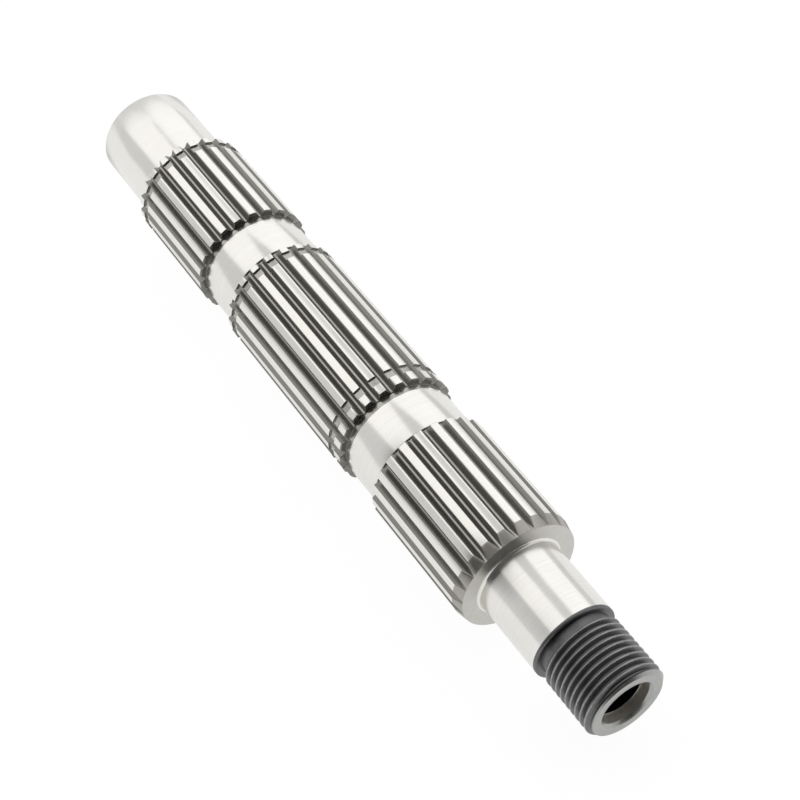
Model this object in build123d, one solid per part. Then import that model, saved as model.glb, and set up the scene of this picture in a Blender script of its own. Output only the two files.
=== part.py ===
from build123d import *
import math
import os

# A gearbox shaft, turned and splined from one bar.
# X runs along the shaft, from the plain end (x = 0) to the threaded end. Z is up, and a
# spline gap faces straight down, so the shaft lies still on two rows of teeth.
# All sizes are in millimetres.

# Splines: the same 22-tooth form on all three sections
tooth_count = 22
spline_od = 29.6
spline_depth = 1.5
tooth_top_width = 1.81
gap_floor_width = 0.59
tooth_end_chamfer = 0.25

# Lengths along the shaft, in order from the plain end
plain_journal_length = 24.9
first_section_length = 32.0
first_neck_length = 13.7
long_section_length = 51.3
second_neck_length = 13.2
last_section_length = 34.3
bearing_journal_length = 19.8
thread_relief_width = 1.8
thread_length = 15.45

# Plain journal, and bearing journal beside the thread
plain_journal_d = 25.0
plain_end_chamfer = 0.6
bearing_journal_d = 20.0
bearing_fillet = 0.6
bearing_edge_chamfer = 0.25

# Ground necks between the sections, with a narrow relief groove at each end
neck_below_teeth = 1.3
neck_edge_chamfer = 0.2
relief_below_gaps = 0.2
relief_width = 1.6
last_relief_width = 1.0

# The last section's teeth end in a lead-in cone, and its gaps ramp up to the cone's rim
lead_in_length = 2.95
lead_in_drop = 0.6

# Circlip grooves
circlip_width = 2.2
circlip_depth = 0.9
first_circlip_setback = 2.1
long_far_circlip_setback = 1.85
long_near_circlip_setback = 2.8

# Thread, 3/4-16: a plain cylinder over the crests stands for its fine helix
thread_d = 19.05
thread_pitch = 25.4 / 16
thread_start_chamfer = 0.6
thread_end_chamfer = 1.0

# Blind bore in the threaded end
lead_bore_d = 11.6
lead_bore_depth = 2.8
mouth_chamfer = 0.7
bore_d = 10.6
bore_depth = 30.0
drill_point_angle = 118.0

# Radii and stations that follow from those sizes
tip_radius = spline_od / 2
gap_radius = tip_radius - spline_depth
neck_radius = tip_radius - neck_below_teeth
relief_radius = gap_radius - relief_below_gaps
circlip_radius = tip_radius - circlip_depth
lead_in_radius = tip_radius - lead_in_drop
thread_radius = thread_d / 2
thread_core_radius = thread_radius - 0.6134 * thread_pitch
tool_overrun = 1.0

first_section_start = plain_journal_length
first_section_end = first_section_start + first_section_length
long_section_start = first_section_end + first_neck_length
long_section_end = long_section_start + long_section_length
last_section_start = long_section_end + second_neck_length
last_section_end = last_section_start + last_section_length
bearing_journal_end = last_section_end + bearing_journal_length
thread_start = bearing_journal_end + thread_relief_width
shaft_end = thread_start + thread_length


def plain_journal_outline():
    radius = plain_journal_d / 2
    return [
        (0, 0),
        (0, radius - plain_end_chamfer),
        (plain_end_chamfer, radius),
        (plain_journal_length, radius),
    ]


def section_outline(start, end):
    # Tooth tips with a small chamfer at both ends
    return [
        (start, tip_radius - tooth_end_chamfer),
        (start + tooth_end_chamfer, tip_radius),
        (end - tooth_end_chamfer, tip_radius),
        (end, tip_radius - tooth_end_chamfer),
    ]


def neck_outline(start, end, start_relief, end_relief):
    # Relief groove, ground neck with broken edges, relief groove
    neck_start = start + start_relief
    neck_end = end - end_relief
    return [
        (start, relief_radius),
        (neck_start, relief_radius),
        (neck_start, neck_radius - neck_edge_chamfer),
        (neck_start + neck_edge_chamfer, neck_radius),
        (neck_end - neck_edge_chamfer, neck_radius),
        (neck_end, neck_radius - neck_edge_chamfer),
        (neck_end, relief_radius),
        (end, relief_radius),
    ]


def last_section_outline():
    # The tips run into a shallow lead-in cone, whose rim is the bearing's shoulder
    return [
        (last_section_start, tip_radius - tooth_end_chamfer),
        (last_section_start + tooth_end_chamfer, tip_radius),
        (last_section_end - lead_in_length, tip_radius),
        (last_section_end, lead_in_radius),
        (last_section_end, bearing_journal_d / 2 + bearing_fillet),
    ]


def threaded_end_outline():
    journal_radius = bearing_journal_d / 2
    return [
        (last_section_end + bearing_fillet, journal_radius),
        (bearing_journal_end - bearing_edge_chamfer, journal_radius),
        (bearing_journal_end, journal_radius - bearing_edge_chamfer),
        (bearing_journal_end, thread_core_radius),
        (thread_start, thread_core_radius),
        (thread_start + thread_start_chamfer, thread_radius),
        (shaft_end - thread_end_chamfer, thread_radius),
        (shaft_end, thread_radius - thread_end_chamfer),
        (shaft_end, 0),
        (0, 0),
    ]


def turned_blank():
    # The bar as it leaves the lathe, revolved about X
    up_to_fillet = Polyline(
        plain_journal_outline()
        + section_outline(first_section_start, first_section_end)
        + neck_outline(first_section_end, long_section_start, relief_width, relief_width)
        + section_outline(long_section_start, long_section_end)
        + neck_outline(long_section_end, last_section_start, relief_width, last_relief_width)
        + last_section_outline()
    )
    fillet_arc = RadiusArc(up_to_fillet @ 1, threaded_end_outline()[0], bearing_fillet)
    after_fillet = Polyline(threaded_end_outline())
    outline = make_face(up_to_fillet + fillet_arc + after_fillet)
    return revolve(Plane.XZ * outline, Axis.X)


def circlip_groove(start):
    ring = Pos(start, circlip_radius) * Rectangle(circlip_width, tip_radius, align=Align.MIN)
    return revolve(Plane.XZ * ring, Axis.X)


def gap_section(start):
    # One straight-flanked gap between two teeth, drawn open past the tooth tips
    half_pitch = math.pi / tooth_count
    half_gap_angle = half_pitch - math.asin(tooth_top_width / 2 / tip_radius)
    tip_height = tip_radius * math.cos(half_gap_angle)
    tip_half_width = tip_radius * math.sin(half_gap_angle)
    flank_slope = (tip_half_width - gap_floor_width / 2) / (tip_height - gap_radius)
    top_height = tip_radius + tool_overrun
    top_half_width = tip_half_width + flank_slope * (top_height - tip_height)
    section = make_face(
        Polyline(
            (-gap_floor_width / 2, gap_radius),
            (gap_floor_width / 2, gap_radius),
            (top_half_width, top_height),
            (-top_half_width, top_height),
            close=True,
        )
    )
    return Plane.YZ.offset(start) * section


def around_the_shaft(gap):
    pitch_angle = 360 / tooth_count
    return [Rot(X=180 + index * pitch_angle) * gap for index in range(tooth_count)]


def open_gaps(start, end):
    # Gaps that run out into the relief grooves at both ends
    return around_the_shaft(extrude(gap_section(start), end - start))


def ramped_gaps():
    # Gaps whose floor climbs over the lead-in cone's length and meets its rim
    ramp_start = last_section_end - lead_in_length
    level = extrude(gap_section(last_section_start), ramp_start - last_section_start)
    climb = Vector(lead_in_length, 0, lead_in_radius - gap_radius)
    ramp = extrude(gap_section(ramp_start), climb.length, dir=climb)
    return around_the_shaft(level) + around_the_shaft(ramp)


def end_bore():
    # Lead bore with a chamfered mouth, then the smaller bore with its drill point
    lead_radius = lead_bore_d / 2
    bore_radius = bore_d / 2
    point_length = bore_radius / math.tan(math.radians(drill_point_angle / 2))
    outline = make_face(
        Polyline(
            (shaft_end, 0),
            (shaft_end, lead_radius + mouth_chamfer),
            (shaft_end - mouth_chamfer, lead_radius),
            (shaft_end - lead_bore_depth, lead_radius),
            (shaft_end - lead_bore_depth, bore_radius),
            (shaft_end - bore_depth, bore_radius),
            (shaft_end - bore_depth - point_length, 0),
            close=True,
        )
    )
    return revolve(Plane.XZ * outline, Axis.X)


def splined_shaft():
    shaft = turned_blank()
    shaft -= circlip_groove(first_section_start + first_circlip_setback)
    shaft -= circlip_groove(long_section_start + long_far_circlip_setback)
    shaft -= circlip_groove(long_section_end - long_near_circlip_setback - circlip_width)
    shaft -= open_gaps(first_section_start, first_section_end)
    shaft -= open_gaps(long_section_start, long_section_end)
    shaft -= ramped_gaps()
    return shaft - end_bore()


os.makedirs("parts", exist_ok=True)
export_step(splined_shaft(), "parts/splined_shaft.step")
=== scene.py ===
import math

import bmesh
import bpy
from mathutils import Matrix, Vector


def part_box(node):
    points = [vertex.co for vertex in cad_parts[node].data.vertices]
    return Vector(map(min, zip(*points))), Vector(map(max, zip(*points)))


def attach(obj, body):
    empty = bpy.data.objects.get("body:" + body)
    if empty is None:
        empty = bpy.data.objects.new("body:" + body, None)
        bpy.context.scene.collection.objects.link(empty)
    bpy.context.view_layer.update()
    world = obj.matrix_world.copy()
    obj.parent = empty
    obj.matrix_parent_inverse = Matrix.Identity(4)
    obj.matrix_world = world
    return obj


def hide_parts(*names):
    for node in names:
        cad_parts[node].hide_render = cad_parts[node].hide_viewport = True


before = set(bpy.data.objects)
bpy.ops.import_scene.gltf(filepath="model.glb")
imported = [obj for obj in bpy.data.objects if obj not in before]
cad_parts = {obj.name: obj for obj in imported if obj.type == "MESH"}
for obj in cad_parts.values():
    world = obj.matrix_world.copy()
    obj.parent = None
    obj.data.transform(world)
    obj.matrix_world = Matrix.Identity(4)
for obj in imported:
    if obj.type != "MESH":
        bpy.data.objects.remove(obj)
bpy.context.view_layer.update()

# --- The spline form, which the whole bar shares -------------------------------------------
# One bar of case-hardening steel. A hob cuts 22 straight-flanked gaps into it, which leaves
# flat-topped teeth. Every ring of the bar's mesh has the same points, 20 to each tooth.
MM = 0.001
tooth_count = 22
tooth_pitch = 2 * math.pi / tooth_count
tip_radius = 14.8
gap_radius = 13.3
tooth_top_width = 1.81
gap_floor_half = 0.59 / 2
edge_break = 0.09
root_blend = 0.16
flank_crown = 0.02

bar = bmesh.new()
finishes = []


def flank_width(height, lift, inset):
    """Half the gap's width at a height over the axis, measured square to the gap's centre line."""
    half_angle = tooth_pitch / 2 - math.asin(tooth_top_width / 2 / tip_radius)
    tip_height = tip_radius * math.cos(half_angle)
    tip_half = tip_radius * math.sin(half_angle)
    slope = (tip_half - gap_floor_half) / (tip_height - gap_radius)
    return gap_floor_half + inset + slope * (height - gap_radius - lift)


def blended(corner, before, after):
    """The middle point of a small round between two points either side of a corner."""
    return tuple(0.25 * b + 0.5 * c + 0.25 * a for b, c, a in zip(before, corner, after))


def towards(start, end, distance):
    """The point that lies a distance from one point towards another."""
    length = math.dist(start, end)
    return tuple(s + (e - s) * distance / length for s, e in zip(start, end))


def half_gap(radius, lift=0.0, inset=0.0):
    """Points (sideways, up) from the middle of a gap to the middle of the next tooth's top."""
    floor = gap_radius + lift
    top = radius
    for _ in range(20):
        top = math.sqrt(radius**2 - flank_width(top, lift, inset) ** 2)
    corner = (flank_width(top, lift, inset), top)
    root = (gap_floor_half + inset, floor)
    depth = math.dist(corner, root)
    blend = min(root_blend, 0.3 * depth)
    broken = min(edge_break, 0.3 * depth)
    middle = (0.0, floor)
    floor_end = towards(root, middle, min(blend, 0.8 * gap_floor_half))
    flank_start = towards(root, corner, blend)
    flank_end = towards(corner, root, broken)
    corner_angle = math.atan2(corner[0], corner[1])
    edge_angle = corner_angle + broken / radius
    tooth_angle = tooth_pitch / 2
    crown = min(flank_crown, 0.02 * depth)
    points = [middle, floor_end, blended(root, floor_end, flank_start), flank_start]
    for share in (1 / 3, 2 / 3):
        across = flank_start[0] + (flank_end[0] - flank_start[0]) * share - crown
        up = flank_start[1] + (flank_end[1] - flank_start[1]) * share + crown
        points.append((across, up))
    edge = (radius * math.sin(edge_angle), radius * math.cos(edge_angle))
    points += [flank_end, blended(corner, flank_end, edge), edge]
    for share in (0.5, 1.0):
        angle = edge_angle + (tooth_angle - edge_angle) * share
        points.append((radius * math.sin(angle), radius * math.cos(angle)))
    return points


def around_once(half):
    """All points (angle, radius) of a ring, from the gap that faces straight down."""
    gap = [(math.atan2(across, up), math.hypot(across, up)) for across, up in half]
    whole = gap + [(tooth_pitch - angle, radius) for angle, radius in gap[-2:0:-1]]
    ring = []
    for index in range(tooth_count):
        turn = index * tooth_pitch - math.pi / 2
        ring += [(turn + angle, radius) for angle, radius in whole]
    return ring


full_form = around_once(half_gap(tip_radius))
ring_zones = (["floor"] + ["root"] * 2 + ["flank"] * 3 + ["edge"] * 2 + ["top"] * 4
              + ["edge"] * 2 + ["flank"] * 3 + ["root"] * 2 + ["floor"]) * tooth_count


def vertices(along, points):
    """The mesh points of a ring, from its place along the bar and its (angle, radius) pairs."""
    return [bar.verts.new((along * MM, radius * math.cos(angle) * MM, radius * math.sin(angle) * MM))
            for angle, radius in points]


def round_ring(along, radius):
    """A plain turned ring, with its points at the same angles as the tooth form's."""
    return vertices(along, [(angle, radius) for angle, _ in full_form])


def toothed_ring(along, radius, lift=0.0, inset=0.0):
    return vertices(along, around_once(half_gap(radius, lift, inset)))


def finish_index(name):
    if name not in finishes:
        finishes.append(name)
    return finishes.index(name)


def skin(before, after, finish):
    """Faces between two rings. A finish is one material's name, or one for each zone of a tooth."""
    count = len(before)
    for index in range(count):
        follow = (index + 1) % count
        face = bar.faces.new((before[index], before[follow], after[follow], after[index]))
        name = finish if isinstance(finish, str) else finish[ring_zones[index]]
        face.material_index = finish_index(name)
        face.smooth = True
    return after


def paint(code):
    """An sRGB hex colour as the linear colour that a shader takes."""
    channels = [int(code[place:place + 2], 16) / 255 for place in (1, 3, 5)]
    linear = [c / 12.92 if c <= 0.04045 else ((c + 0.055) / 1.055) ** 2.4 for c in channels]
    return (*linear, 1.0)


def add_node(tree, kind, inputs=None, **settings):
    """One node with its settings, and with its inputs set or linked."""
    made = tree.nodes.new(kind)
    for name, value in settings.items():
        setattr(made, name, value)
    for name, value in (inputs or {}).items():
        if isinstance(value, bpy.types.NodeSocket):
            tree.links.new(value, made.inputs[name])
        else:
            made.inputs[name].default_value = value
    return made


def new_material(name):
    """An empty material with its output, and the place on the bar in metres."""
    material = bpy.data.materials.new(name)
    material.use_nodes = True
    tree = material.node_tree
    tree.nodes.clear()
    output = add_node(tree, "ShaderNodeOutputMaterial")
    place = add_node(tree, "ShaderNodeTexCoord").outputs["Object"]
    return material, tree, output, place


# Nearly all of a noise texture's values lie between these two.
noise_low = 0.3
noise_high = 0.7
# A worn surface's bare metal ends in a ragged edge, in mm over the worn radius.
scuff_height = 0.5
bare_from = 0.2
bare_fully = 0.38


def steel_finish(name, tones, grain_mm, roughness, ring_mm, ring_tone, ring_share, relief_mm,
                 metallic=1.0, drawn_out=0.0, worn_from=None):
    """Steel in two tones that mingle in grains, with the tool's rings and a fine relief on it.

    The rings lie round the bar and, on a face square to it, round its middle. Where a surface
    is worn, everything farther from the axis than worn_from shines as bare metal, in patches.
    """
    material, tree, output, place = new_material(name)
    split = add_node(tree, "ShaderNodeSeparateXYZ", {"Vector": place})
    across = add_node(tree, "ShaderNodeVectorMath", {0: place, 1: (0.0, 1.0, 1.0)}, operation="MULTIPLY")
    from_axis = add_node(tree, "ShaderNodeVectorMath", {0: across.outputs["Vector"]}, operation="LENGTH")
    lathe_place = add_node(tree, "ShaderNodeCombineXYZ", {
        "X": split.outputs["X"], "Y": from_axis.outputs["Value"]})
    rings = add_node(tree, "ShaderNodeTexNoise", {
        "Vector": lathe_place.outputs["Vector"], "Scale": 1 / (ring_mm * MM),
        "Detail": 2.0, "Roughness": 0.55})
    along, around = (1 / (size * MM) for size in grain_mm)
    stretched = add_node(tree, "ShaderNodeMapping", {"Vector": place, "Scale": (along, around, around)})
    grains = add_node(tree, "ShaderNodeTexNoise", {
        "Vector": stretched.outputs["Vector"], "Scale": 1.0, "Detail": 3.0, "Roughness": 0.55})
    grain_share = add_node(tree, "ShaderNodeMapRange", {
        "Value": grains.outputs["Fac"], "From Min": noise_low, "From Max": noise_high})
    tone = add_node(tree, "ShaderNodeMix", {
        0: grain_share.outputs["Result"], 6: paint(tones[0]), 7: paint(tones[1])}, data_type="RGBA")
    ring_part = add_node(tree, "ShaderNodeMapRange", {
        "Value": rings.outputs["Fac"], "From Min": 0.4, "From Max": 0.7, "To Max": ring_share})
    tone = add_node(tree, "ShaderNodeMix", {
        0: ring_part.outputs["Result"], 6: tone.outputs[2], 7: paint(ring_tone)}, data_type="RGBA")
    if worn_from is not None:
        scuffed = add_node(tree, "ShaderNodeMath", {
            0: grains.outputs["Fac"], 1: scuff_height * MM, 2: from_axis.outputs["Value"]},
            operation="MULTIPLY_ADD")
        bare = add_node(tree, "ShaderNodeMapRange", {
            "Value": scuffed.outputs["Value"], "From Min": (worn_from + bare_from) * MM,
            "From Max": (worn_from + bare_fully) * MM})
        tone = add_node(tree, "ShaderNodeMix", {
            0: bare.outputs["Result"], 6: tone.outputs[2], 7: paint("#ABAAA7")}, data_type="RGBA")
    heights = add_node(tree, "ShaderNodeMath", {
        0: rings.outputs["Fac"], 1: grains.outputs["Fac"]}, operation="ADD")
    bump = add_node(tree, "ShaderNodeBump", {
        "Height": heights.outputs["Value"], "Strength": 0.3, "Distance": relief_mm * MM})
    rough = add_node(tree, "ShaderNodeMapRange", {
        "Value": grains.outputs["Fac"], "From Min": noise_low, "From Max": noise_high,
        "To Min": roughness[0], "To Max": roughness[1]})
    shader = add_node(tree, "ShaderNodeBsdfPrincipled", {
        "Base Color": tone.outputs[2], "Metallic": metallic,
        "Roughness": rough.outputs["Result"], "Normal": bump.outputs["Normal"]})
    if drawn_out:
        tangent = add_node(tree, "ShaderNodeTangent", direction_type="RADIAL", axis="X")
        tree.links.new(tangent.outputs["Tangent"], shader.inputs["Tangent"])
        shader.inputs["Anisotropic"].default_value = drawn_out
        shader.inputs["Anisotropic Rotation"].default_value = 0.25
    tree.links.new(shader.outputs["BSDF"], output.inputs["Surface"])


# --- Plain journal -------------------------------------------------------------------------
# The long plain seat for the first bearing: case-hardened steel, cylindrically ground to
# 25 mm. The wheel leaves fine lines round it, which stretch reflections along the bar.
plain_journal_length = 24.9
plain_journal_radius = 12.5
plain_end_chamfer = 0.6

last = round_ring(0, 3.0)
plain_end_face = bar.faces.new(list(reversed(last)))
plain_end_face.material_index = finish_index("turned_steel")
for along, radius in (
    (0.0, plain_journal_radius - plain_end_chamfer - 0.08),
    (0.04, plain_journal_radius - plain_end_chamfer + 0.03),
):
    last = skin(last, round_ring(along, radius), "turned_steel")
for along, radius in (
    (plain_end_chamfer - 0.04, plain_journal_radius - 0.04),
    (plain_end_chamfer + 0.05, plain_journal_radius),
    (plain_journal_length / 2, plain_journal_radius),
    (plain_journal_length, plain_journal_radius),
):
    last = skin(last, round_ring(along, radius), "ground_steel")

# Cylindrically ground steel: near white with a warm tint, smooth round the bar and a little
# rougher along it. The wheel's lines are drawn 0.12 mm apart, coarser than real ones.
steel_finish("ground_steel", ("#F1EFEA", "#F6F5F1"), (7.0, 5.0), (0.17, 0.24),
             0.12, "#C4C0B8", 0.16, 0.002, drawn_out=0.5)

# Turned steel: pale grey, with the lathe tool's fine rings left on it, 0.15 mm apart
steel_finish("turned_steel", ("#AEB0AD", "#BCBDB9"), (2.0, 2.0), (0.28, 0.36),
             0.15, "#8B8D8B", 0.35, 0.004)

# --- Splined sections ----------------------------------------------------------------------
# Three rows of teeth carry the sliding gears. Their flanks keep the dark skin of the
# hardening furnace, while the grinding wheel has cleaned their tops white.
first_section_length = 32.0
long_section_length = 51.3
last_section_length = 34.3
tooth_end_chamfer = 0.25
circlip_width = 2.2
circlip_radius = 14.35
circlip_edge = 0.05
first_circlip_setback = 2.1
long_far_circlip_setback = 1.85
long_near_circlip_setback = 2.8
lead_in_length = 2.95
lead_in_radius = 14.2

tooth_finish = {"top": "ground_steel", "edge": "ground_steel", "flank": "hardened_steel",
                "root": "hardened_steel", "floor": "hobbed_steel"}
end_finish = dict.fromkeys(tooth_finish, "hardened_steel")
groove_finish = {**end_finish, "floor": "hobbed_steel", "top": "grooved_steel"}


def tooth_end(last, along, side):
    """The broken edges at one end of a row of teeth: side is 1 where the row starts."""
    steps = ((0.0, tip_radius - tooth_end_chamfer, 0.06), (0.06, tip_radius - 0.19, 0.0),
             (0.19, tip_radius - 0.05, 0.0), (0.27, tip_radius, 0.0))
    for place, (inwards, radius, inset) in enumerate(steps if side > 0 else reversed(steps)):
        wall = place == 0 and side > 0
        ring = toothed_ring(along + side * inwards, radius, inset=inset)
        last = skin(last, ring, end_finish if wall or inwards < 0.2 else tooth_finish)
    return last


def circlip_groove(last, start):
    """A square groove turned across the teeth for a spring ring."""
    end = start + circlip_width
    last = skin(last, toothed_ring(start - circlip_edge, tip_radius), tooth_finish)
    steps = ((start, tip_radius - circlip_edge), (start, circlip_radius + circlip_edge),
             (start + circlip_edge, circlip_radius))
    for along, radius in steps:
        last = skin(last, toothed_ring(along, radius), end_finish)
    last = skin(last, toothed_ring(end - circlip_edge, circlip_radius), groove_finish)
    steps = ((end, circlip_radius + circlip_edge), (end, tip_radius - circlip_edge),
             (end + circlip_edge, tip_radius))
    for along, radius in steps:
        last = skin(last, toothed_ring(along, radius), end_finish)
    return last


def row_of_teeth(last, start, length, circlips):
    """Teeth from end to end, with rings about 8 mm apart where nothing changes."""
    last = tooth_end(last, start, 1)
    reached = start
    for circlip in circlips + [None]:
        stop = start + length if circlip is None else circlip
        steps = max(1, round((stop - reached) / 8))
        for step in range(1, steps):
            along = reached + (stop - reached) * step / steps
            last = skin(last, toothed_ring(along, tip_radius), tooth_finish)
        if circlip is not None:
            last = circlip_groove(last, circlip)
            reached = circlip + circlip_width
    return last


first_start = plain_journal_length
first_end = first_start + first_section_length
last = row_of_teeth(last, first_start, first_section_length, [first_start + first_circlip_setback])
last = tooth_end(last, first_end, -1)

# Case-hardened skin: dark brown-grey and satin, slightly mottled, with faint hobbing feed
# marks. Mottling is drawn at 0.5 mm.
steel_finish("hardened_steel", ("#7F7E79", "#8C8B86"), (0.5, 0.35), (0.27, 0.36),
             0.25, "#A8A59D", 0.25, 0.004)

# Hobbed gap floors: the hob's tip has rubbed them to a mid grey, in streaks along the bar
steel_finish("hobbed_steel", ("#ABABA8", "#C2C2BF"), (3.0, 0.2), (0.25, 0.35),
             0.3, "#B8B7B2", 0.2, 0.003)

# Grooved steel: the floors of the circlip and relief grooves, turned before hardening
steel_finish("grooved_steel", ("#AFAEA8", "#C4C2BC"), (0.6, 0.6), (0.24, 0.34),
             0.1, "#9C9A94", 0.25, 0.003)

# --- Necks between the sections ------------------------------------------------------------
# Two ground seats a little below the tooth tops, where gears spin freely. A narrow relief
# groove at each end let the grinding wheel run out.
first_neck_length = 13.7
second_neck_length = 13.2
neck_radius = 13.5
relief_radius = 13.1
relief_width = 1.6
first_neck_last_relief = 0.75
second_neck_last_relief = 0.55
neck_edge = 0.1


def neck(last, start, length, last_relief):
    """A relief groove, the ground seat with broken edges, and the second relief groove."""
    seat_start = start + relief_width
    seat_end = start + length - last_relief
    steps = (
        (start, relief_radius + 0.08, "hardened_steel"),
        (start + 0.08, relief_radius, "hardened_steel"),
        (seat_start - 0.08, relief_radius, "grooved_steel"),
        (seat_start, relief_radius + 0.08, "grooved_steel"),
        (seat_start, neck_radius - neck_edge, "hardened_steel"),
        (seat_start + neck_edge, neck_radius - 0.02, "ground_steel"),
        (seat_start + neck_edge + 0.08, neck_radius, "ground_steel"),
        ((seat_start + seat_end) / 2, neck_radius, "ground_steel"),
        (seat_end - neck_edge - 0.08, neck_radius, "ground_steel"),
        (seat_end - neck_edge, neck_radius - 0.02, "ground_steel"),
        (seat_end, neck_radius - neck_edge, "ground_steel"),
        (seat_end, relief_radius + 0.08, "hardened_steel"),
        (seat_end + 0.08, relief_radius, "grooved_steel"),
        (start + length - 0.08, relief_radius, "grooved_steel"),
        (start + length, relief_radius + 0.08, "hardened_steel"),
    )
    for along, radius, finish in steps:
        last = skin(last, round_ring(along, radius), finish)
    return last


last = neck(last, first_end, first_neck_length, first_neck_last_relief)
long_start = first_end + first_neck_length
long_end = long_start + long_section_length
long_circlips = [long_start + long_far_circlip_setback,
                 long_end - long_near_circlip_setback - circlip_width]
last = row_of_teeth(last, long_start, long_section_length, long_circlips)
last = tooth_end(last, long_end, -1)
last = neck(last, long_end, second_neck_length, second_neck_last_relief)

# --- Last section and its lead-in cone -----------------------------------------------------
# The last row of teeth tapers where gears slide on. The gaps' floors climb to the cone's
# rim, and the face behind it, ground square to the bar, is the bearing's shoulder.
last_start = long_end + second_neck_length
last_section_end = last_start + last_section_length
cone_start = last_section_end - lead_in_length
bearing_journal_radius = 10.0
bearing_fillet = 0.6

cone_finish = {"top": "cone_steel", "edge": "cone_steel", "flank": "hardened_steel",
               "root": "hardened_steel", "floor": "hobbed_steel"}
last = row_of_teeth(last, last_start, last_section_length, [])
last = skin(last, toothed_ring(cone_start - 0.05, tip_radius), tooth_finish)
for step in range(1, 7):
    share = step / 6
    ring = toothed_ring(
        cone_start + (lead_in_length - 0.05) * share,
        tip_radius + (lead_in_radius - tip_radius) * share,
        lift=(lead_in_radius - gap_radius) * share * 0.985,
    )
    last = skin(last, ring, cone_finish)
for radius in (lead_in_radius - 0.06, 12.6, bearing_journal_radius + bearing_fillet):
    last = skin(last, round_ring(last_section_end, radius), "faced_steel")

# The cone was turned before hardening and left alone: matte grey, lighter than the flanks
steel_finish("cone_steel", ("#ABA8A1", "#B6B3AC"), (0.8, 0.8), (0.3, 0.36),
             0.2, "#9F9C95", 0.2, 0.002)

# Faced steel: the shoulder, ground with the side of the wheel, so it is softer in its shine
steel_finish("faced_steel", ("#D2D0CA", "#DEDCD7"), (2.0, 2.0), (0.36, 0.44),
             0.2, "#BDBAB3", 0.3, 0.003)

# --- Bearing journal -----------------------------------------------------------------------
# The 20 mm seat for the second bearing, ground, with a small fillet at its shoulder. The
# blacking of the thread beside it has crept over its last 0.8 mm.
bearing_journal_length = 19.8
bearing_edge_chamfer = 0.25
black_edge_width = 0.8

bearing_journal_end = last_section_end + bearing_journal_length
black_start = bearing_journal_end - black_edge_width
for step in range(1, 6):
    turn = step / 5 * math.pi / 2
    along = last_section_end + bearing_fillet * (1 - math.cos(turn))
    radius = bearing_journal_radius + bearing_fillet * (1 - math.sin(turn))
    last = skin(last, round_ring(along, radius), "ground_steel")
for along in (last_section_end + bearing_journal_length / 2, black_start):
    last = skin(last, round_ring(along, bearing_journal_radius), "ground_steel")

# --- Threaded end --------------------------------------------------------------------------
# A 3/4-16 thread for the nut that holds the bearing, with a relief groove where the tool ran
# out. It is chemically blacked, and the nut has worn thin bright lines along its crests.
thread_relief_width = 1.8
thread_length = 15.45
thread_radius = 9.525
thread_pitch = 25.4 / 16
thread_core_radius = thread_radius - 0.6134 * thread_pitch
thread_start_chamfer = 0.6
thread_end_chamfer = 1.0
points_per_turn = 132

thread_start = bearing_journal_end + thread_relief_width
shaft_end = thread_start + thread_length
edge_start = bearing_journal_end - bearing_edge_chamfer
for along, radius in (
    (edge_start - 0.05, bearing_journal_radius),
    (edge_start + 0.04, bearing_journal_radius - 0.03),
    (bearing_journal_end - 0.03, bearing_journal_radius - bearing_edge_chamfer + 0.03),
    (bearing_journal_end, bearing_journal_radius - bearing_edge_chamfer - 0.05),
):
    last = skin(last, round_ring(along, radius), "blacked_steel")


def coarse_ring(along, radius):
    """A ring with fewer points, for the threaded end and the bore."""
    step = 2 * math.pi / points_per_turn
    return vertices(along, [(index * step - math.pi / 2, radius) for index in range(points_per_turn)])


def zip_rings(fine, coarse, finish):
    """Triangles between two rings with different numbers of points, both from the lowest point."""
    done_fine, done_coarse = 0, 0
    while done_fine < len(fine) or done_coarse < len(coarse):
        ahead = done_fine / len(fine) <= done_coarse / len(coarse)
        here = (fine[done_fine % len(fine)], coarse[done_coarse % len(coarse)])
        if ahead:
            done_fine += 1
            follow = fine[done_fine % len(fine)]
        else:
            done_coarse += 1
            follow = coarse[done_coarse % len(coarse)]
        face = bar.faces.new((here[0], follow, here[1]))
        face.material_index = finish_index(finish)
        face.smooth = True
    return coarse


last = zip_rings(last, coarse_ring(bearing_journal_end, thread_core_radius + 0.12), "blacked_steel")
for along, radius in (
    (bearing_journal_end + 0.03, thread_core_radius + 0.03),
    (bearing_journal_end + 0.12, thread_core_radius),
    (thread_start, thread_core_radius),
):
    last = skin(last, coarse_ring(along, radius), "blacked_steel")


def thread_profile():
    """One turn's points (share of the pitch, radius), from one root's middle to the next."""
    crest = 0.0625 + 0.02
    root = crest + 0.33
    low = thread_core_radius
    return [
        (-0.5, low), (-root, low + 0.02), (-root + 0.045, low + 0.1),
        (-crest - 0.02, thread_radius - 0.05), (-crest + 0.03, thread_radius),
        (crest - 0.03, thread_radius), (crest + 0.02, thread_radius - 0.05),
        (root - 0.045, low + 0.1), (root, low + 0.02),
    ]


def blank_radius(along):
    """The chamfered cylinder that the thread is cut into."""
    up = (along - thread_start) / thread_start_chamfer
    down = (shaft_end - along) / thread_end_chamfer
    rise = thread_core_radius + (thread_radius - thread_core_radius) * min(up, 1)
    fall = thread_radius - thread_end_chamfer * (1 - min(down, 1))
    return min(rise, fall)


# The mesh's lines follow the helix. Past the thread's ends they gather on its end circles,
# where the doubled points are merged.
profile = thread_profile()
turns = math.ceil(thread_length / thread_pitch) + 2
lines = []
for turn in range(-1, turns):
    for share, radius in profile:
        line = []
        for index in range(points_per_turn + 1):
            angle = 2 * math.pi * index / points_per_turn
            along = thread_start + (turn + share + angle / (2 * math.pi)) * thread_pitch
            held = min(max(along, thread_start), shaft_end)
            height = min(radius, blank_radius(held))
            line.append((held, angle - math.pi / 2, height))
        lines.append(line)
made = {}


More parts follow.
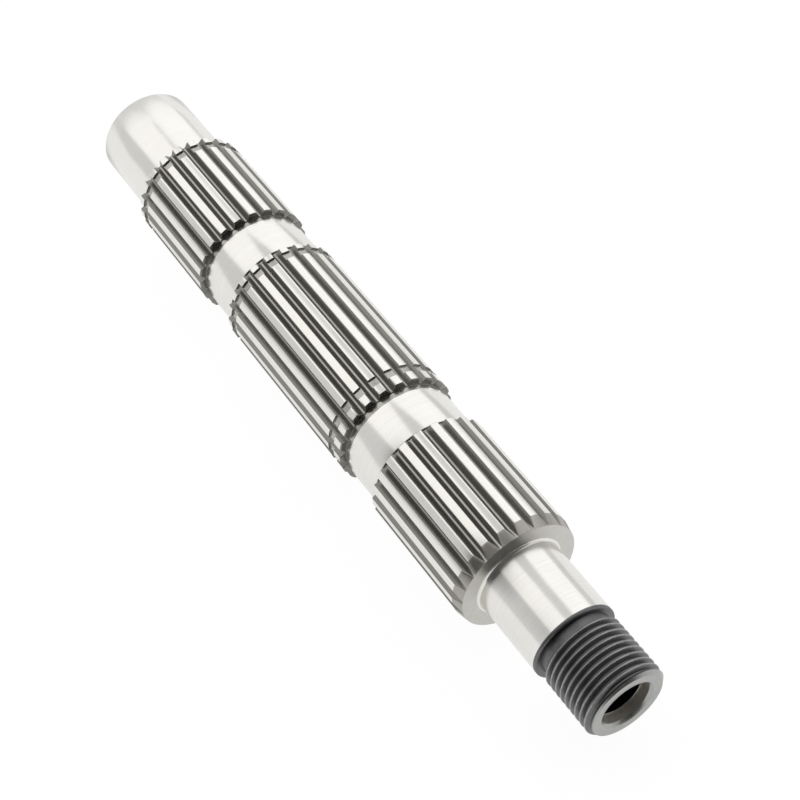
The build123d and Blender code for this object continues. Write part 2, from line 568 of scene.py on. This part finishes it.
def thread_vertex(place):
    """The mesh point at (along, angle, radius), made only once."""
    key = tuple(round(value, 5) for value in (place[0], place[1] % (2 * math.pi), place[2]))
    if key not in made:
        made[key] = vertices(place[0], [(place[1], place[2])])[0]
    return made[key]


for index, vertex in enumerate(last):
    angle = (2 * math.pi * index / points_per_turn - math.pi / 2) % (2 * math.pi)
    made[(round(thread_start, 5), round(angle, 5), round(thread_core_radius, 5))] = vertex
for low, high in zip(lines[:-1], lines[1:]):
    for index in range(points_per_turn):
        corners = [thread_vertex(place) for place in
                   (low[index], low[index + 1], high[index + 1], high[index])]
        corners = list(dict.fromkeys(corners))
        if len(corners) < 3:
            continue
        face = bar.faces.new(corners)
        middle = face.calc_center_median() / MM
        limit = blank_radius(middle.x) - 0.05
        turned_end = middle.x > shaft_end - thread_end_chamfer and middle.yz.length > limit
        face.material_index = finish_index("turned_steel" if turned_end else "worn_blacking")
        face.smooth = True
last = []
for index in range(points_per_turn):
    angle = 2 * math.pi * index / points_per_turn - math.pi / 2
    last.append(thread_vertex((shaft_end, angle, thread_radius - thread_end_chamfer)))

# Black oxide on steel: grey-black and satin, mottled at 0.4 mm. On the thread it has worn
# through to bare metal along the crests, in broken lines.
steel_finish("blacked_steel", ("#68696B", "#7B7B7C"), (0.4, 0.4), (0.34, 0.44),
             0.15, "#8A8A89", 0.3, 0.004)
steel_finish("worn_blacking", ("#68696B", "#7B7B7C"), (0.35, 0.5), (0.32, 0.44),
             0.15, "#8A8A89", 0.3, 0.004, worn_from=thread_radius - 0.14)

# --- End face and bore ---------------------------------------------------------------------
# The end is faced after blacking, so it is bare grey steel. A short lead bore with a
# chamfered mouth steps down to a deep blind bore with a drill point.
lead_bore_radius = 5.8
lead_bore_depth = 2.8
mouth_chamfer = 0.7
bore_radius = 5.3
bore_depth = 30.0
drill_point_length = bore_radius / math.tan(math.radians(118 / 2))

mouth_radius = lead_bore_radius + mouth_chamfer
for inwards, radius, finish in (
    (0.0, mouth_radius + 0.06, "turned_steel"),
    (0.05, mouth_radius - 0.04, "turned_steel"),
    (mouth_chamfer - 0.05, lead_bore_radius + 0.06, "turned_steel"),
    (mouth_chamfer + 0.06, lead_bore_radius, "turned_steel"),
    (lead_bore_depth - 0.05, lead_bore_radius, "bored_steel"),
    (lead_bore_depth, lead_bore_radius - 0.05, "bored_steel"),
    (lead_bore_depth, bore_radius + 0.08, "turned_steel"),
    (lead_bore_depth + 0.08, bore_radius, "turned_steel"),
    # The deep bore's wall takes near-black paint: painted shade for the inside of the hole
    (bore_depth / 3, bore_radius, "blacked_bore"),
    (bore_depth, bore_radius, "blacked_bore"),
):
    last = skin(last, coarse_ring(shaft_end - inwards, radius), finish)
# The drill point at the bottom takes the same near-black painted shade
point = bar.verts.new(((shaft_end - bore_depth - drill_point_length) * MM, 0, 0))
for index, vertex in enumerate(last):
    face = bar.faces.new((vertex, last[(index + 1) % len(last)], point))
    face.material_index = finish_index("blacked_bore")
    face.smooth = True

# Bored steel: brown-grey, with the boring tool's rings and a film of old oil
steel_finish("bored_steel", ("#D3CABF", "#E4DED5"), (1.5, 1.5), (0.4, 0.5),
             0.12, "#A79F95", 0.3, 0.004, metallic=0.1)

# Deep bore: near black and matte, with the drill's rings. The near-black colour is painted shade for the
# shade deep inside the blind bore.
steel_finish("blacked_bore", ("#2C2C2F", "#3A3A3D"), (0.6, 0.6), (0.4, 0.55),
             0.2, "#454548", 0.3, 0.006)

# --- The finished shaft --------------------------------------------------------------------
# All of it is one piece of steel, so it is one mesh, and it stands for the bar's CAD solid.
bar.normal_update()
shaft_mesh = bpy.data.meshes.new("splined_shaft_bar")
bar.to_mesh(shaft_mesh)
bar.free()
for name in finishes:
    shaft_mesh.materials.append(bpy.data.materials[name])
shaft_mesh.set_sharp_from_angle(angle=math.radians(28))
shaft = bpy.data.objects.new("splined_shaft_bar", shaft_mesh)
bpy.context.scene.collection.objects.link(shaft)
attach(shaft, "root")
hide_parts("splined_shaft")

# --- Floor ---------------------------------------------------------------------------------
# A wide white table top. Looked at directly it is pure white, with a trace of the shaft's
# shadow left on it. The steel mirrors it a little darker.
floor_half = 6.0
glow_share = 0.85
glow_strength = 1.11
mirrored_share = 0.8
floor_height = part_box("splined_shaft")[0].z
floor_mesh = bpy.data.meshes.new("table_top")
floor_mesh.from_pydata(
    [(x, y, floor_height) for x, y in ((-floor_half, -floor_half), (floor_half, -floor_half),
                                       (floor_half, floor_half), (-floor_half, floor_half))],
    [], [(0, 1, 2, 3)])
floor = bpy.data.objects.new("table_top", floor_mesh)
bpy.context.scene.collection.objects.link(floor)
table_paint, tree, output, place = new_material("matt_white_paint")
rays = add_node(tree, "ShaderNodeLightPath")
mirrored = add_node(tree, "ShaderNodeMath", {
    0: rays.outputs["Is Glossy Ray"], 1: mirrored_share}, operation="MULTIPLY")
seen = add_node(tree, "ShaderNodeMath", {
    0: rays.outputs["Is Camera Ray"], 1: mirrored.outputs["Value"]}, operation="MAXIMUM")
seen = add_node(tree, "ShaderNodeMath", {
    0: seen.outputs["Value"], 1: rays.outputs["Is Transmission Ray"]}, operation="MAXIMUM")
share = add_node(tree, "ShaderNodeMath", {
    0: seen.outputs["Value"], 1: glow_share}, operation="MULTIPLY")
matt = add_node(tree, "ShaderNodeBsdfDiffuse", {"Color": paint("#F4F4F3")})
glow = add_node(tree, "ShaderNodeEmission", {"Color": paint("#FFFFFF"), "Strength": glow_strength})
blend = add_node(tree, "ShaderNodeMixShader", {0: share.outputs["Value"]})
tree.links.new(matt.outputs["BSDF"], blend.inputs[1])
tree.links.new(glow.outputs["Emission"], blend.inputs[2])
tree.links.new(blend.outputs["Shader"], output.inputs["Surface"])
floor_mesh.materials.append(table_paint)

# --- Light ---------------------------------------------------------------------------------
# A pale tent all round, with one wide soft box overhead and another up on the right. The
# tent's open side, where the camera stands, is dark: steel that faces it turns dark too.
shaft_middle = Vector((shaft_end / 2 * MM, 0, 0))
world = bpy.data.worlds.new("pale_tent")
world.use_nodes = True
bpy.context.scene.world = world
tree = world.node_tree
tree.nodes.clear()
tent = add_node(tree, "ShaderNodeBackground", {"Color": paint("#FFFFFF"), "Strength": 0.68})
output = add_node(tree, "ShaderNodeOutputWorld")
tree.links.new(tent.outputs["Background"], output.inputs["Surface"])


def soft_box(name, direction, distance, size, brightness, colour):
    """A rectangular area lamp that faces the shaft, whose face is as bright as stated."""
    lamp = bpy.data.lights.new(name, "AREA")
    lamp.shape = "RECTANGLE"
    lamp.size, lamp.size_y = size
    lamp.energy = brightness * math.pi * size[0] * size[1]
    lamp.color = paint(colour)[:3]
    box = bpy.data.objects.new(name, lamp)
    bpy.context.scene.collection.objects.link(box)
    back = Vector(direction).normalized()
    across = back.cross(Vector((1, 0, 0))).normalized()
    box.matrix_world = Matrix.Translation(shaft_middle + back * distance) @ Matrix(
        (across.cross(back), across, back)).transposed().to_4x4()


soft_box("overhead_box", (-0.55, -0.35, 0.757), 1.6, (1.9, 1.2), 0.4, "#FFFDF9")
soft_box("right_box", (-0.55, 0.593, 0.588), 1.5, (1.7, 1.35), 0.42, "#FFFFFF")

# The open side is a dark drape, part of a sphere round the shaft. Only the steel sees it.
open_side = Vector((0.75, -0.5, 0.43)).normalized()
open_half_angle = math.radians(71)
drape_radius = 1.9
drape_bm = bmesh.new()
bmesh.ops.create_uvsphere(drape_bm, u_segments=64, v_segments=48, radius=drape_radius)
drape_limit = math.cos(open_half_angle)
outside = [v for v in drape_bm.verts if v.co.normalized().z < drape_limit]
bmesh.ops.delete(drape_bm, geom=outside, context="VERTS")
turn = Vector((0, 0, 1)).rotation_difference(open_side).to_matrix().to_4x4()
drape_bm.transform(Matrix.Translation(shaft_middle) @ turn)
sunk = [v for v in drape_bm.verts if v.co.z < floor_height]
bmesh.ops.delete(drape_bm, geom=sunk, context="VERTS")
drape_mesh = bpy.data.meshes.new("dark_drape")
drape_bm.to_mesh(drape_mesh)
drape_bm.free()
drape = bpy.data.objects.new("dark_drape", drape_mesh)
bpy.context.scene.collection.objects.link(drape)
drape.visible_camera = False
drape_cloth, tree, output, place = new_material("dark_cloth")
cloth = add_node(tree, "ShaderNodeBsdfDiffuse", {"Color": paint("#808080")})
tree.links.new(cloth.outputs["BSDF"], output.inputs["Surface"])
drape_mesh.materials.append(drape_cloth)

# --- Camera --------------------------------------------------------------------------------
# A short telephoto over the threaded end, tipped a little to one side
camera_data = bpy.data.cameras.new("camera")
camera_data.sensor_width = 36.0
camera_data.lens = 77.61
camera = bpy.data.objects.new("camera", camera_data)
bpy.context.scene.collection.objects.link(camera)
camera_place = Vector((0.33431, -0.10937, 0.30260))
camera_target = Vector((0.11509, 0.00528, 0.0))
camera_tip = math.radians(-6.48)
looking = (camera_target - camera_place).to_track_quat("-Z", "Y").to_matrix().to_4x4()
camera.matrix_world = Matrix.Translation(camera_place) @ looking @ Matrix.Rotation(camera_tip, 4, "Z")
bpy.context.scene.camera = camera
bpy.context.scene.view_settings.view_transform = "Standard"
